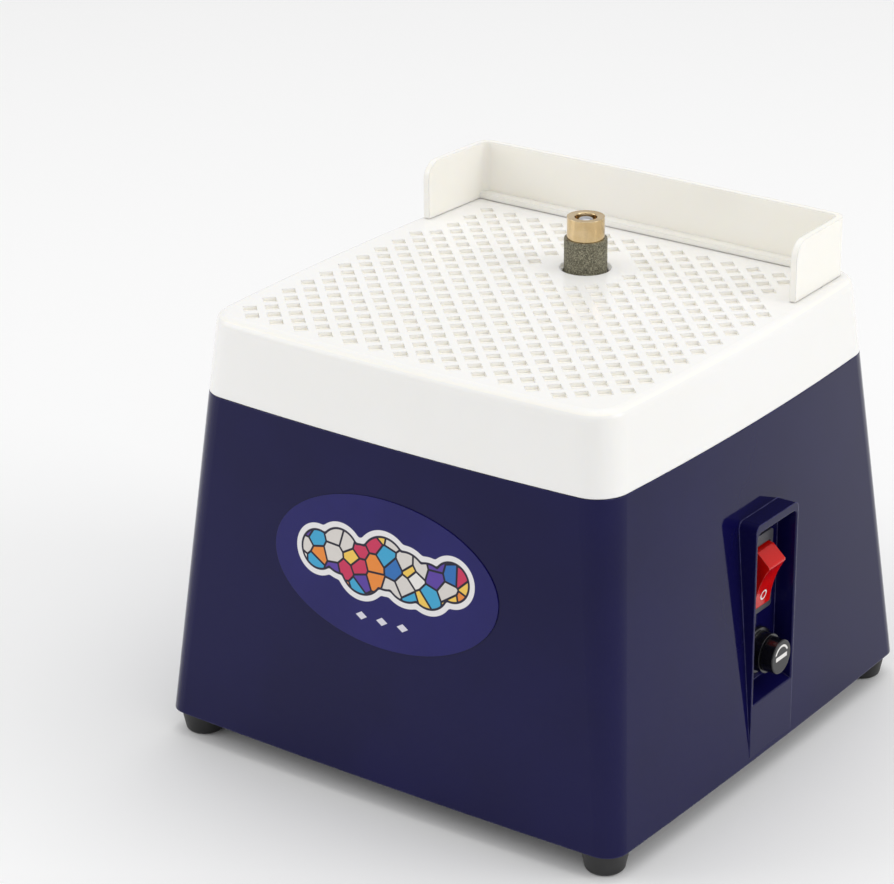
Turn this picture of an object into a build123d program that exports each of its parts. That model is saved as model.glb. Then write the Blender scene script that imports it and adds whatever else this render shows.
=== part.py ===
"""Bench glass grinder: a tapered moulded case, a lift-off worktop over a water tray, a splash guard,
and a permanent-magnet motor that drives a diamond grinding bit through the worktop.

Frame: origin on the floor under the middle of the case, +Z up, -Y to the user, +X to the switch.
Units are millimetres.
"""

import os
from math import atan2, cos, hypot, radians, sin

from build123d import *

os.makedirs("parts", exist_ok=True)

# ---- case and worktop -------------------------------------------------------------------------
fit = 0.1
overlap, cut_over = 0.5, 1.0
foot_height = 9.5
case_height = 126.0
cover_height = 29.5
case_bottom = foot_height
seam = case_bottom + case_height
top = seam + cover_height

half_bottom, bow_bottom = 100.0, 1.45
half_seam, bow_seam = 87.9, 3.25
half_top, bow_top = 85.1, 2.9
corner_bottom, corner_seam, corner_top = 8.5, 12.5, 13.0
wall = 2.6
deck_thickness = 3.0
deck_under = seam - deck_thickness
body_gap = 0.3
cover_wall = 2.8
plate_thickness = 4.0
plate_under = top - plate_thickness
top_edge_radius = 4.0
lip_inset, lip_width, lip_height = 3.9, 2.0, 4.0
lip_inner = lip_inset + lip_width

# ---- spindle ----------------------------------------------------------------------------------
spindle_x, spindle_y = -1.5, 32.0
running_fit = 0.05
bit_shaft_radius = 3.175
core_radius, core_length = 7.0, 30.0
core_top = top + 19.7
core_bottom = core_top - core_length
sleeve_radius, sleeve_length = 7.95, 15.0
sleeve_top = core_top - 8.2
sleeve_bottom = sleeve_top - sleeve_length
bit_hole_radius = 8.5
bit_rim_width, bit_rim_depth = 1.2, 1.2
ring_radius = 15.0
boss_radius, boss_bore, boss_top = 9.0, 5.0, seam + 5.5
counterbore_radius, counterbore_depth = 4.1, 2.4
shaft_end_radius = 1.6
grub_height = core_bottom + 3.4
grub_radius, grub_start, grub_length = 1.95, bit_shaft_radius + 0.35, 3.3
slinger_radius, slinger_bottom, slinger_thickness = 10.0, boss_top + 1.0, 3.0

# ---- worktop lattice --------------------------------------------------------------------------
lattice_pitch = 7.75
pocket_side = 4.8
pocket_depth = 1.3
lattice_half = 78.6
lattice_corner_sum = 148.0
lattice_half_between_wings, lattice_wing_start = 72.5, 32.6
lattice_rear = 70.0
lattice_shift_x, lattice_shift_y = 1.65, 4.36
lattice_steps = 16

# ---- splash guard -----------------------------------------------------------------------------
guard_height = 22.5
guard_wall = 2.5
guard_x = -0.9
guard_front, guard_rear = 42.6, 80.9
guard_half_front, guard_half_rear = 82.6, 81.4
guard_bow = 0.9
guard_corner = 5.5
guard_nose_radius = 7.0
ledge_depth, ledge_height = 4.0, 2.2
peg_radius, peg_length = 1.0, 2.5
wing_peg_y = 62.0

# ---- switch recess ----------------------------------------------------------------------------
hood_front = 101.3
hood_y = 1.6
hood_half = 14.45
hood_top = case_bottom + 93.3
hood_corner, recess_corner, hood_edge_radius = 2.8, 2.2, 0.5
recess_half = 13.2
recess_floor = 93.5
recess_bottom, recess_top = case_bottom + 22.8, case_bottom + 90.0
sill_inner, sill_outer = recess_bottom + 2.8, recess_bottom - 0.4
panel_bottom = case_bottom + 0.8
recess_top_band = (recess_top - 0.01, recess_top + 0.01)
recess_wall = 2.0
recess_back = recess_floor - recess_wall
switch_z = case_bottom + 68.6
fuse_z = case_bottom + 37.7
switch_body_half_y, switch_body_half_z = 6.4, 14.2
switch_back, switch_wall = 69.5, 1.3
rocker_half_width = 5.5
rocker_pivot_x = recess_floor - 0.5
rocker_end_radius = 12.9
rocker_nose, rocker_hollow = (9.0, 5.4), (4.8, -3.1)
rocker_upper_end, rocker_upper_back = (3.6, 10.3), (-1.0, 10.9)
rocker_lower_end, rocker_lower_back = (2.8, -12.6), (-1.0, -12.86)
rocker_back = [(-4.0, 4.0), (-4.0, -4.0)]
rocker_lower_reach, rocker_upper_reach = 13.25, 11.3
rocker_well = 86.0
trunnion_radius, trunnion_bore = 0.9, 1.2
bezel_width, bezel_height, bezel_thickness, bezel_corner = 15.0, 30.5, 1.7, 1.2
tab_width, tab_thickness, tab_length, tab_pitch = 4.8, 0.8, 8.0, 7.0
fuse_y = 1.8
fuse_thread_radius = 6.0
fuse_nut_flats, fuse_nut_thickness = 16.0, 3.0
fuse_bore = 3.7
fuse_back, fuse_end_wall = 72.0, 1.5
fuse_flange_radius, fuse_flange_thickness = 8.9, 1.8
fuse_barrel_radius, fuse_barrel_end = 7.35, 99.5
fuse_cap_inner_radius, fuse_cap_face_radius, fuse_cap_end = 6.6, 6.45, 104.6
fuse_start, fuse_length, fuse_radius = 77.5, 20.0, 2.6
carrier_start, carrier_bore = 75.5, 2.8
end_cap_length, end_cap_wall = 5.0, 0.3
glass_radius, glass_bore = 2.3, 1.8

# ---- motor ------------------------------------------------------------------------------------
can_radius, can_wall = 27.0, 2.0
can_bottom, can_top = 54.0, 114.0
bell_thickness = 4.0
motor_shaft_radius = 4.0
bearing_radius, bearing_width = 11.0, 7.0
lower_bearing_z = 45.5
upper_bearing_z = 115.5
upper_boss_bottom, upper_boss_top = upper_bearing_z - 4.5, upper_bearing_z + 5.5
lower_boss_bottom = lower_bearing_z - 5.5
stack_radius, stack_bottom, stack_top = 19.4, 76.0, 102.0
magnet_bore, magnet_arc, magnet_overhang = 20.2, 130, 4.0
ball_radius, ball_circle, ball_count = 1.6, 7.6, 8
slots = 12
shaft_bottom = 42.3
shaft_step = 126.0
shaft_top = core_top - 0.5
brush_z = 62.0
brush_inner, brush_outer = 9.6, 21.6
holder_inner, holder_outer, holder_radius = 12.0, 30.0, 6.5
commutator_radius, commutator_half = 9.5, 5.0
bell_boss_radius = bearing_radius + 3.0
bolt_circle = 22.8
motor_screw_radius = 1.9
winding_radius, winding_bore, winding_height, winding_round = 17.4, 8.0, 7.0, 3.0
slot_inner, slot_outer = 10.0, 17.6
slot_inner_half, slot_outer_half = 1.3, 2.8
slot_mouth, slot_liner = 1.6, 0.15
brush_width, brush_thickness = 8.0, 5.0
spring_radius, spring_wire_radius, spring_pitch = 1.8, 0.3, 1.5
brush_cap_thickness = 3.0
plate_bottom = can_top + bell_thickness
motor_plate_thickness = 2.5
plate_corner, plate_margin = 8.0, 8.0
grommet_height, grommet_radius, grommet_bore = 4.0, 5.0, 1.6
hang_reach = 32.0
motor_screw_circle = 20.0
bolt_radius = 1.6
bolt_head, bolt_length = (3.0, 2.4), can_top - can_bottom + 7.5
motor_screw_head = (3.5, 2.3)

# ---- base -------------------------------------------------------------------------------------
base_thickness, base_clearance = 2.0, 0.5
base_top = case_bottom + base_thickness
post_reach, post_radius, pilot_radius = 73.0, 5.0, 1.5
foot_reach = 90.0
foot_radius_top, foot_radius_bottom, foot_edge_radius = 8.9, 7.0, 1.6
foot_screw_radius = 2.1
foot_counterbore, foot_counterbore_radius = 4.0, 3.6
pilot_depth = 20.0
screw_head = (3.5, 2.2)
foot_screw = (3.3, 2.3, foot_screw_radius - fit, 13.0)
base_screw_length = 14.0
nut_across_flats, nut_thickness = 7.0, 3.2
vent_count, vent_pitch, vent_length, vent_width = 5, 9.0, 60.0, 3.0
board_x, board_y, board_length, board_thickness = 55.0, 50.0, 34.0, 1.6
board_inset = 3.5
board_bottom = base_top + 5.0
board_post_radius, board_pin_radius, board_pin_height = 2.5, 1.0, board_thickness + 1.0
rectifier_width, rectifier_height, rectifier_hole, rectifier_shift = 15.0, 6.0, 1.8, 3.0
wire_radius = 1.0

# ---- cable gland ------------------------------------------------------------------------------
gland_z = case_bottom + 78.5
gland_radius, gland_bore = 6.0, 3.7
gland_flange_radius, gland_flange = 9.0, 2.5
gland_neck_low, gland_neck_high, gland_neck_end = 6.5, 5.4, 6.0
gland_inner_length = 14.0
gland_nut_flats, gland_nut_thickness = 17.0, 3.0

# ---- badge ------------------------------------------------------------------------------------
badge_z, badge_half_width, badge_half_height, badge_thickness = 89.2, 48.5, 27.5, 0.4

# ---- water tray -------------------------------------------------------------------------------
tray_wall, tray_floor = 2.0, seam + 2.5
tray_clearance = 1.5
tray_collar_radius, tray_collar_bore, tray_collar_top = 14.5, 12.0, 150.0
sponge_near, sponge_heel, sponge_far = spindle_y + 8.6, spindle_y + 15.0, spindle_y + 30.0
sponge_step, sponge_top = 151.0, 158.0
sponge_half_width, sponge_corner = 12.0, 2.0


def outline(half, bow, corner):
    """Flat shape of four gently bowed sides with rounded corners."""
    corners = [(-half, -half), (half, -half), (half, half), (-half, half)]
    middles = [(0, -half - bow), (half + bow, 0), (0, half + bow), (-half - bow, 0)]
    with BuildSketch() as plan:
        with BuildLine():
            for number in range(4):
                ThreePointArc(corners[number], middles[number], corners[(number + 1) % 4])
        make_face()
        fillet(plan.vertices(), radius=corner)
    return plan.sketch


def side_at(height, grow=0.0):
    """Half width, bow and corner radius of the case at a height above the floor."""
    share = (height - case_bottom) / case_height
    half = half_bottom + (half_seam - half_bottom) * share + grow
    corner = corner_bottom + (corner_seam - corner_bottom) * share + grow
    return half, bow_bottom + (bow_seam - bow_bottom) * share, corner


def cover_side_at(height, grow=0.0):
    """Half width, bow and corner radius of the worktop's skirt at a height above the floor."""
    share = (height - seam) / cover_height
    half = half_seam + (half_top - half_seam) * share + grow
    corner = corner_seam + (corner_top - corner_seam) * share + grow
    return half, bow_seam + (bow_top - bow_seam) * share, corner


def tapered_block(low, high, side, grow):
    """Solid between two heights whose outline follows a side function."""
    with BuildPart() as block:
        for height in (low, high):
            with BuildSketch(Plane.XY.offset(height)):
                add(outline(*side(height, grow)))
        loft(ruled=True)
    return block.part


def spindle_plane(height):
    """Horizontal plane at a height, centred on the spindle."""
    return Plane((spindle_x, spindle_y, height))


def tube(plane, length, outer, inner=0.0):
    """Round bar or tube that stands on a plane."""
    with BuildPart() as turned:
        with BuildSketch(plane):
            Circle(outer)
            if inner:
                Circle(inner, mode=Mode.SUBTRACT)
        extrude(amount=length)
    return turned.part


def ring(low, high, outer, inner=0.0):
    """Bar or tube about the spindle, between two heights."""
    return tube(spindle_plane(low), high - low, outer, inner)


def hex_nut(plane, thickness, across_flats, bore):
    """Hexagon nut that stands on a plane."""
    with BuildPart() as nut:
        with BuildSketch(plane):
            RegularPolygon(across_flats / 2, 6, major_radius=False)
            Circle(bore, mode=Mode.SUBTRACT)
        extrude(amount=thickness)
    return nut.part


def pan_screw(plane, head_radius, head_height, shank_radius, shank_length):
    """Cross-recess screw whose head stands on a plane, with its shank below."""
    with BuildPart() as screw:
        with BuildSketch(plane):
            Circle(head_radius)
        extrude(amount=head_height)
        fillet(screw.edges().sort_by(Axis(plane.origin, plane.z_dir))[-1], radius=0.35 * head_height)
        with BuildSketch(plane):
            Circle(shank_radius)
        extrude(amount=-shank_length)
        with BuildSketch(plane.offset(head_height)):
            Rectangle(1.1 * head_radius, 0.25 * head_radius)
            Rectangle(0.25 * head_radius, 1.1 * head_radius)
        extrude(amount=-0.55 * head_height, mode=Mode.SUBTRACT)
    return screw.part


def facing(x, y, z, direction):
    """Plane at a point that faces along a direction."""
    return Plane(origin=(x, y, z), z_dir=direction)


def export(holder, label):
    holder.part.label = label
    export_step(holder.part, f"parts/{label}.step")


def export_group(pieces, label):
    """Writes several separate solids as one node."""
    group = Compound(label=label, children=pieces)
    export_step(group, f"parts/{label}.step")


# ================================================================================================
# Case
# ================================================================================================
case_block = tapered_block(case_bottom, seam, side_at, 0.0)
case_cavity = tapered_block(case_bottom - overlap, deck_under, side_at, -wall)

post_spots = [(x * post_reach, y * post_reach) for x in (-1, 1) for y in (-1, 1)]
foot_spots = [(x * foot_reach, y * foot_reach) for x in (-1, 1) for y in (-1, 1)]
board_reach = board_length / 2 - board_inset
board_spots = [(board_x + x * board_reach, board_y + y * board_reach) for x in (-1, 1) for y in (-1, 1)]
hang_spots = [(spindle_x + x * hang_reach, spindle_y + y * hang_reach) for x in (-1, 1) for y in (-1, 1)]
hang_bottom = plate_bottom + motor_plate_thickness + grommet_height

gland_half, gland_bow, _ = side_at(gland_z)
rear_slope = atan2(half_bottom + bow_bottom - half_seam - bow_seam, case_height)
gland_plane = Plane(
    origin=(0, gland_half + gland_bow, gland_z), x_dir=(1, 0, 0), z_dir=(0, cos(rear_slope), sin(rear_slope))
)

with BuildPart() as housing_shell:
    add(case_block)
    add(case_cavity, mode=Mode.SUBTRACT)
    # posts that take the base screws, hung from the deck
    with BuildSketch(Plane.XY.offset(base_top)):
        with Locations(*post_spots):
            Circle(post_radius)
            Circle(pilot_radius, mode=Mode.SUBTRACT)
    extrude(amount=pilot_depth)
    with BuildSketch(Plane.XY.offset(base_top + pilot_depth)):
        with Locations(*post_spots):
            Circle(post_radius)
    extrude(amount=deck_under - base_top - pilot_depth + overlap)
    # short posts that carry the motor plate
    with BuildSketch(Plane.XY.offset(hang_bottom)):
        with Locations(*hang_spots):
            Circle(post_radius)
            Circle(pilot_radius, mode=Mode.SUBTRACT)
    extrude(amount=deck_under - hang_bottom + overlap)
    # raised collar that keeps water off the shaft opening
    add(ring(seam - overlap, boss_top, boss_radius))
    add(ring(deck_under - cut_over, boss_top + cut_over, boss_bore), mode=Mode.SUBTRACT)
    # upright lip inside the rim, which centres the worktop
    with BuildSketch(Plane.XY.offset(seam - overlap)):
        add(outline(half_seam - lip_inset, bow_seam, corner_seam - lip_inset))
        add(outline(half_seam - lip_inner, bow_seam, corner_seam - lip_inner), mode=Mode.SUBTRACT)
    extrude(amount=lip_height + overlap)
    # hood with an upright front, closed behind by the recess wall
    with BuildSketch(Plane.YZ.offset(recess_back)) as hood_outline:
        with Locations((hood_y, (recess_bottom - recess_wall + hood_top) / 2)):
            Rectangle(2 * hood_half, hood_top - recess_bottom + recess_wall)
        fillet(hood_outline.vertices().group_by(Axis.Y)[-1], radius=hood_corner)
    extrude(amount=hood_front - recess_back)
    with BuildSketch(Plane.YZ.offset(half_bottom - cut_over)):
        with Locations((hood_y, (panel_bottom + recess_bottom) / 2)):
            Rectangle(2 * hood_half, recess_bottom - panel_bottom)
    extrude(amount=hood_front - half_bottom + cut_over)
    # the recess, whose sill falls outwards
    with BuildSketch(Plane.XZ.offset(-hood_y - recess_half)):
        with BuildLine():
            Polyline(
                (recess_floor, sill_inner),
                (hood_front + cut_over, sill_outer),
                (hood_front + cut_over, recess_top),
                (recess_floor, recess_top),
                close=True,
            )
        make_face()
    extrude(amount=2 * recess_half, mode=Mode.SUBTRACT)
    lintel_edges = housing_shell.edges().filter_by(Axis.X).filter_by_position(Axis.Z, *recess_top_band)
    fillet(lintel_edges, radius=recess_corner)
    hood_face = housing_shell.faces().filter_by(Plane.YZ).sort_by(Axis.X)[-1]
    fillet(hood_face.inner_wires().edges(), radius=hood_edge_radius)
    # openings for the switch, the fuse holder and the cable gland
    with BuildSketch(Plane.YZ.offset(recess_back - cut_over)):
        with Locations((hood_y, switch_z)):
            Rectangle(2 * (switch_body_half_y + fit), 2 * (switch_body_half_z + fit))
        with Locations((fuse_y, fuse_z)):
            Circle(fuse_thread_radius + fit)
    extrude(amount=recess_wall + 2 * cut_over, mode=Mode.SUBTRACT)
    add(tube(gland_plane.offset(-2 * wall), 3 * wall, gland_radius + fit), mode=Mode.SUBTRACT)
export(housing_shell, "housing_shell")

with BuildPart() as base_plate:
    with BuildSketch(Plane.XY.offset(case_bottom)):
        add(outline(half_bottom - wall - base_clearance, bow_bottom, corner_bottom - wall))
        with Locations(*post_spots):
            Circle(pilot_radius + 2 * fit, mode=Mode.SUBTRACT)
        with Locations(*foot_spots):
            Circle(foot_screw_radius + fit, mode=Mode.SUBTRACT)
        with GridLocations(0, vent_pitch, 1, vent_count):
            SlotOverall(vent_length, vent_width, mode=Mode.SUBTRACT)
    extrude(amount=base_thickness)
    # snap posts for the rectifier board
    with BuildSketch(Plane.XY.offset(base_top - overlap)):
        with Locations(*board_spots):
            Circle(board_post_radius)
    extrude(amount=board_bottom - base_top + overlap)
    with BuildSketch(Plane.XY.offset(board_bottom - overlap)):
        with Locations(*board_spots):
            Circle(board_pin_radius)
    extrude(amount=board_pin_height + overlap)
export(base_plate, "base_plate")

pilot_screw_radius = pilot_radius - running_fit
base_screws = [
    pan_screw(facing(x, y, case_bottom, (0, 0, -1)), *screw_head, pilot_screw_radius, base_screw_length)
    for x, y in post_spots
]
export_group(base_screws, "base_screws")

# rubber feet, counterbored for their screws
foot_names = ["foot_front_left", "foot_rear_left", "foot_front_right", "foot_rear_right"]
for (foot_x, foot_y), foot_name in zip(foot_spots, foot_names):
    with BuildPart() as foot:
        with BuildSketch(Plane((foot_x, foot_y, 0), x_dir=(1, 0, 0), z_dir=(0, -1, 0))) as half_profile:
            with BuildLine():
                Polyline(
                    (foot_screw_radius, foot_counterbore),
                    (foot_counterbore_radius, foot_counterbore),
                    (foot_counterbore_radius, 0),
                    (foot_radius_bottom, 0),
                    (foot_radius_top, foot_height),
                    (foot_screw_radius, foot_height),
                    close=True,
                )
            make_face()
            fillet(half_profile.vertices().sort_by(Axis.Y)[:2].sort_by(Axis.X)[-1], radius=foot_edge_radius)
        revolve(axis=Axis((foot_x, foot_y, 0), (0, 0, 1)))
    export(foot, foot_name)

foot_screws = [
    pan_screw(facing(x, y, foot_counterbore, (0, 0, -1)), *foot_screw)
    for x, y in foot_spots
]
export_group(foot_screws, "foot_screws")
foot_nuts = [
    hex_nut(facing(x, y, base_top, (0, 0, 1)), nut_thickness, nut_across_flats, foot_screw_radius)
    for x, y in foot_spots
]
export_group(foot_nuts, "foot_nuts")

# oval badge that follows the front of the case
badge_skin = tapered_block(case_bottom, seam, side_at, badge_thickness)
with BuildPart() as badge:
    with BuildSketch(Plane.XZ.offset(half_seam)):
        with Locations((0, badge_z)):
            Ellipse(badge_half_width, badge_half_height)
    extrude(amount=half_bottom + bow_bottom + badge_thickness - half_seam)
    add(badge_skin, mode=Mode.INTERSECT)
    add(case_block, mode=Mode.SUBTRACT)
export(badge, "badge")

with BuildPart() as cable_gland:
    add(tube(gland_plane, gland_flange, gland_flange_radius))
    with BuildSketch(gland_plane.offset(gland_flange)):
        Circle(gland_neck_low)
    with BuildSketch(gland_plane.offset(gland_neck_end)):
        Circle(gland_neck_high)
    loft()
    add(tube(gland_plane.offset(-gland_inner_length), gland_inner_length + overlap, gland_radius))
    bore_start, bore_end = -gland_inner_length - cut_over, gland_neck_end + cut_over
    add(tube(gland_plane.offset(bore_start), bore_end - bore_start, gland_bore), mode=Mode.SUBTRACT)
export(cable_gland, "cable_gland")
with BuildPart() as gland_nut:
    nut_plane = gland_plane.offset(-wall - gland_nut_thickness - fit)
    add(hex_nut(nut_plane, gland_nut_thickness, gland_nut_flats, gland_radius))
export(gland_nut, "gland_nut")


# ================================================================================================
# Worktop, splash guard, tray and sponge
# ================================================================================================
def guard_plan(inset, front):
    """Plan of the splash guard: three sides and two rounded rear corners, closed along its open front."""
    side_front, side_rear, rear = guard_half_front - inset, guard_half_rear - inset, guard_rear - inset
    front_left, front_right = (guard_x - side_front, front), (guard_x + side_front, front)
    rear_left, rear_right = (guard_x - side_rear, rear), (guard_x + side_rear, rear)
    with BuildSketch() as plan:
        with BuildLine():
            Polyline(rear_left, front_left, front_right, rear_right)
            ThreePointArc(rear_right, (guard_x, rear + guard_bow), rear_left)
        make_face()
        fillet(plan.vertices().group_by(Axis.Y)[-1], radius=guard_corner - inset)
    return plan.sketch


def takes_pocket(x, y):
    """Says whether the worktop has a pocket centred at a point."""
    if abs(x) > lattice_half or not -lattice_half <= y <= lattice_rear:
        return False
    if hypot(x - spindle_x, y - spindle_y) < ring_radius + pocket_half_diagonal:
        return False
    if y > lattice_wing_start and abs(x) > lattice_half_between_wings:
        return False
    return abs(x) + abs(y) < lattice_corner_sum


pocket_half_diagonal = pocket_side / 2 ** 0.5
half_step = lattice_pitch / 2 ** 0.5
steps = range(-lattice_steps, lattice_steps + 1)
pocket_spots = [
    (lattice_shift_x + half_step * across, lattice_shift_y + half_step * along)
    for across in steps
    for along in steps
    if (across + along) % 2 == 0
]
pocket_spots = [spot for spot in pocket_spots if takes_pocket(*spot)]

wing_peg_reach = (guard_half_front + guard_half_rear - guard_wall) / 2
peg_spots = [
    (guard_x - wing_peg_reach, wing_peg_y),
    (guard_x + wing_peg_reach, wing_peg_y),
    (guard_x, guard_rear + guard_bow - guard_wall / 2),
]

with BuildPart() as worktop_cover:
    add(tapered_block(seam + body_gap, top, cover_side_at, 0.0))
    fillet(worktop_cover.faces().sort_by(Axis.Z)[-1].edges(), radius=top_edge_radius)
    add(tapered_block(seam, plate_under, cover_side_at, -cover_wall), mode=Mode.SUBTRACT)
    # opening for the bit, with a dished rim
    add(ring(plate_under - cut_over, top, bit_hole_radius), mode=Mode.SUBTRACT)
    with BuildSketch(spindle_plane(top)):
        Circle(bit_hole_radius + bit_rim_width)
    with BuildSketch(spindle_plane(top - bit_rim_depth)):
        Circle(bit_hole_radius)
    loft(mode=Mode.SUBTRACT)
    with BuildSketch(Plane.XY.offset(top)):
        with Locations(*peg_spots):
            Circle(peg_radius + body_gap)
    extrude(amount=-peg_length, mode=Mode.SUBTRACT)
    # shallow square pockets on their corners, which leave a diagonal lattice of ribs
    with BuildSketch(Plane.XY.offset(top)):
        with Locations(*pocket_spots):
            Rectangle(pocket_side, pocket_side, rotation=45)
    extrude(amount=-pocket_depth, mode=Mode.SUBTRACT)
export(worktop_cover, "worktop_cover")

with BuildPart() as splash_guard:
    with BuildSketch(Plane.XY.offset(top + body_gap)):
        add(guard_plan(0.0, guard_front))
        add(guard_plan(guard_wall, guard_front - cut_over), mode=Mode.SUBTRACT)
    extrude(amount=guard_height - body_gap)
    nose_edges = splash_guard.edges().filter_by(Axis.X).group_by(Axis.Z)[-1]
    fillet(nose_edges.group_by(Axis.Y)[0], radius=guard_nose_radius)
    # low ledge inside the back
    with BuildSketch(Plane.XY.offset(top + body_gap)):
        add(guard_plan(guard_wall / 2, guard_rear - guard_wall - ledge_depth))
    extrude(amount=ledge_height)
    with BuildSketch(Plane.XY.offset(top + body_gap)):
        with Locations(*peg_spots):
            Circle(peg_radius)
    extrude(amount=-peg_length)
export(splash_guard, "splash_guard")

tray_half = half_seam - lip_inner - tray_clearance
tray_corner = corner_seam - lip_inner - tray_clearance
with BuildPart() as water_tray:
    with BuildSketch(Plane.XY.offset(seam + body_gap)):
        add(outline(tray_half, bow_seam, tray_corner))
    extrude(amount=plate_under - seam - 2 * body_gap)
    with BuildSketch(Plane.XY.offset(tray_floor)):
        add(outline(tray_half - tray_wall, bow_seam, tray_corner - tray_wall))
    extrude(amount=plate_under - tray_floor, mode=Mode.SUBTRACT)
    add(ring(seam + body_gap, tray_collar_top, tray_collar_radius))
    add(ring(seam, tray_collar_top + cut_over, tray_collar_bore), mode=Mode.SUBTRACT)
export(water_tray, "water_tray")

# block of sponge that stands in the water behind the collar and leans over it to the bit
with BuildPart() as sponge:
    with BuildSketch(Plane((spindle_x, 0, 0), x_dir=(0, 1, 0), z_dir=(1, 0, 0))):
        with BuildLine():
            Polyline(
                (sponge_heel, tray_floor),
                (sponge_far, tray_floor),
                (sponge_far, sponge_top),
                (sponge_near, sponge_top),
                (sponge_near, sponge_step),
                (sponge_heel, sponge_step),
                close=True,
            )
        make_face()
    extrude(amount=sponge_half_width, both=True)
    fillet(sponge.edges().filter_by(Axis.Z), radius=sponge_corner)
export(sponge, "sponge")


# ================================================================================================
# Grinding bit and shaft
# ================================================================================================
with BuildPart() as motor_shaft:
    add(ring(shaft_bottom, shaft_step, motor_shaft_radius))
    add(ring(shaft_step, shaft_top, bit_shaft_radius))
    fillet(motor_shaft.edges().sort_by(Axis.Z)[-1], radius=shaft_end_radius)
    chamfer(motor_shaft.edges().sort_by(Axis.Z)[0], length=0.5)
export(motor_shaft, "motor_shaft")

with BuildPart() as bit_core:
    add(ring(core_bottom, core_top, core_radius, bit_shaft_radius + running_fit))
    add(ring(core_top - counterbore_depth, core_top, counterbore_radius), mode=Mode.SUBTRACT)
    fillet(bit_core.edges().sort_by(Axis.Z)[-1], radius=0.5)
    grub_hole_plane = facing(spindle_x, spindle_y, grub_height, (0, -1, 0))
    add(tube(grub_hole_plane, core_radius + cut_over, grub_radius + running_fit), mode=Mode.SUBTRACT)
export(bit_core, "bit_core")

with BuildPart() as diamond_sleeve:
    add(ring(sleeve_bottom, sleeve_top, sleeve_radius, core_radius))
export(diamond_sleeve, "diamond_sleeve")

with BuildPart() as grub_screw:
    grub_plane = facing(spindle_x, spindle_y - grub_start, grub_height, (0, -1, 0))
    add(tube(grub_plane, grub_length, grub_radius))
    with BuildSketch(grub_plane.offset(grub_length)):
        RegularPolygon(grub_radius / 2, 6, major_radius=False)
    extrude(amount=-grub_length / 2, mode=Mode.SUBTRACT)
export(grub_screw, "grub_screw")

with BuildPart() as water_slinger:
    add(ring(slinger_bottom, slinger_bottom + slinger_thickness, slinger_radius, bit_shaft_radius))
    upper_edges = water_slinger.edges().group_by(Axis.Z)[-1]
    chamfer(upper_edges.sort_by(SortBy.RADIUS)[-1], length=0.6 * slinger_thickness)
export(water_slinger, "water_slinger")


# ================================================================================================
# Motor
# ================================================================================================
def brush_plane(side, distance):
    """Plane across a brush's line, facing away from the shaft; side is 1 or -1."""
    return facing(spindle_x + side * distance, spindle_y, brush_z, (side, 0, 0))


with BuildPart() as motor_can:
    add(ring(can_bottom, can_top, can_radius, can_radius - can_wall))
    for side in (-1, 1):
        hole_plane = brush_plane(side, can_radius - 2 * can_wall)
        add(tube(hole_plane, 3 * can_wall, holder_radius), mode=Mode.SUBTRACT)
export(motor_can, "motor_can")

bolt_spots = [(spindle_x, spindle_y - bolt_circle), (spindle_x, spindle_y + bolt_circle)]
screw_reach = motor_screw_circle * cos(radians(45))
motor_screw_spots = [
    (spindle_x + x * screw_reach, spindle_y + y * screw_reach) for x in (-1, 1) for y in (-1, 1)
]

with BuildPart() as upper_bell:
    add(ring(can_top, plate_bottom, can_radius))
    add(ring(upper_boss_bottom, upper_boss_top, bell_boss_radius))
    seat_top = upper_bearing_z + bearing_width / 2
    add(ring(upper_boss_bottom - cut_over, seat_top, bearing_radius), mode=Mode.SUBTRACT)
    add(ring(upper_boss_bottom, upper_boss_top + cut_over, motor_shaft_radius + 1.5), mode=Mode.SUBTRACT)
    with BuildSketch(Plane.XY.offset(can_top - cut_over)):
        with Locations(*bolt_spots):
            Circle(bolt_radius)
        with Locations(*motor_screw_spots):
            Circle(motor_screw_radius + running_fit)
    extrude(amount=bell_thickness + 2 * cut_over, mode=Mode.SUBTRACT)
export(upper_bell, "upper_bell")

with BuildPart() as lower_bell:
    add(ring(can_bottom - bell_thickness, can_bottom, can_radius))
    add(ring(lower_boss_bottom, can_bottom, bell_boss_radius))
    add(ring(lower_bearing_z - bearing_width / 2, can_bottom + cut_over, bearing_radius), mode=Mode.SUBTRACT)
    with BuildSketch(Plane.XY.offset(can_bottom - bell_thickness - cut_over)):
        with Locations(*bolt_spots):
            Circle(bolt_radius + fit)
    extrude(amount=bell_thickness + 2 * cut_over, mode=Mode.SUBTRACT)
export(lower_bell, "lower_bell")

tie_bolts = [
    pan_screw(facing(x, y, can_bottom - bell_thickness, (0, 0, -1)), *bolt_head, bolt_radius, bolt_length)
    for x, y in bolt_spots
]
export_group(tie_bolts, "tie_bolts")

field_magnets = []
for start_angle in (-magnet_arc / 2, 180 - magnet_arc / 2):
    with BuildPart() as magnet:
        with BuildSketch(spindle_plane(stack_bottom - magnet_overhang)):
            with BuildLine():
                outer_arc = CenterArc((0, 0), can_radius - can_wall, start_angle, magnet_arc)
                inner_arc = CenterArc((0, 0), magnet_bore, start_angle, magnet_arc)
                Line(outer_arc @ 0, inner_arc @ 0)
                Line(outer_arc @ 1, inner_arc @ 1)
            make_face()
        extrude(amount=stack_top - stack_bottom + 2 * magnet_overhang)
    field_magnets.append(magnet.part)
export_group(field_magnets, "field_magnets")

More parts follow.
